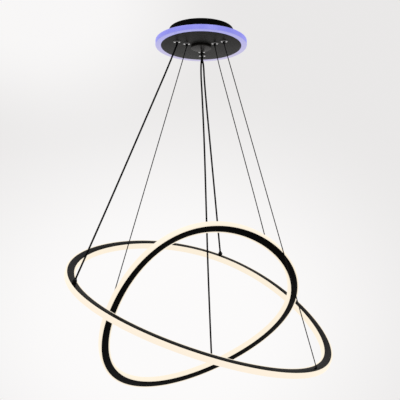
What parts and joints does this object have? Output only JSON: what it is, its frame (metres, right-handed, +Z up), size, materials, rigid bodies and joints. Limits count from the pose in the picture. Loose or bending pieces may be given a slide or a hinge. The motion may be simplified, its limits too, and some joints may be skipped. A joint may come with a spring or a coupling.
{
  "type": "led ring chandelier",
  "caption": "Pendant light with a large and a small saddle-bent LED ring crossing at opposite tilts, hung on cords and wires from a round canopy with a lit rim.",
  "frame": {"origin": "centre of the canopy on the ceiling plane, which is also the centre of the bracket's two slots", "axes": "+Z up, -Y the side that the picture shows, +X to its right"},
  "size_m": [0.7616, 0.7114, 1.0656],
  "materials": {
    "canopy_black": "fine satin black powder coat",
    "ring_black": "satin black coated extrusion",
    "ring_acrylic": "opal acrylic, lit warm white",
    "halo_acrylic": "opal acrylic, lit blue violet",
    "led_strip": "flexible strip with phosphor dots",
    "zinc_steel": "zinc plated",
    "bright_screws": "bright nickel plated",
    "brass": "plain brass",
    "fitting_black": "black fittings",
    "cord_sheath": "smooth black sheath",
    "steel_wire": "fine stranded wire, dark coated",
    "driver_case": "plain white moulded case",
    "terminal_nylon": "natural nylon",
    "foam_tape": "double-sided foam tape"
  },
  "bodies": {
    "canopy": {"ceiling_bracket": "zinc_steel", "centre_stud": "zinc_steel", "stud_nuts": "zinc_steel", "earth_screw": "brass", "base_cover": "canopy_black", "back_plate": "canopy_black", "halo_diffuser": "halo_acrylic", "bottom_plate": "canopy_black", "halo_led_strip": "led_strip", "centre_cap": "canopy_black", "driver_large_ring": "driver_case", "driver_small_ring": "driver_case", "terminal_block": "terminal_nylon", "mounting_pads": "foam_tape", "grip_screws": "bright_screws", "grip_nuts": "zinc_steel", "large_grip_left": "fitting_black", "large_grip_back": "fitting_black", "large_grip_right": "fitting_black", "small_grip_left": "fitting_black", "small_grip_back": "fitting_black", "small_grip_right": "fitting_black"},
    "suspension": {"large_cord_left": "cord_sheath", "large_cord_back": "cord_sheath", "large_wire_right": "steel_wire", "small_wire_left": "steel_wire", "small_cord_back": "cord_sheath", "small_wire_right": "steel_wire"},
    "large_ring": {"large_ring_channel": "ring_black", "large_ring_outer_strip": "led_strip", "large_ring_inner_strip": "led_strip", "large_ring_outer_diffuser": "ring_acrylic", "large_ring_inner_diffuser": "ring_acrylic", "large_anchor_left": "fitting_black", "large_anchor_back": "fitting_black", "large_anchor_right": "fitting_black"},
    "small_ring": {"small_ring_channel": "ring_black", "small_ring_outer_strip": "led_strip", "small_ring_inner_strip": "led_strip", "small_ring_outer_diffuser": "ring_acrylic", "small_ring_inner_diffuser": "ring_acrylic", "small_anchor_left": "fitting_black", "small_anchor_back": "fitting_black", "small_anchor_right": "fitting_black"}
  },
  "joints": [
    {"name": "sway", "type": "hinge", "parent": "canopy", "child": "suspension", "pos_m": [0, 0, -0.0615], "axis": [0, 1, 0], "range_deg": [-3, 3]},
    {"name": "large_ring_height", "type": "slide", "parent": "suspension", "child": "large_ring", "axis": [0, 0, 1], "range_m": [0, 0.4], "deforming": ["large_cord_left", "large_cord_back", "large_wire_right"]},
    {"name": "small_ring_height", "type": "slide", "parent": "suspension", "child": "small_ring", "axis": [0, 0, 1], "range_m": [-0.3, 0], "deforming": ["small_wire_left", "small_cord_back", "small_wire_right"]}
  ]
}
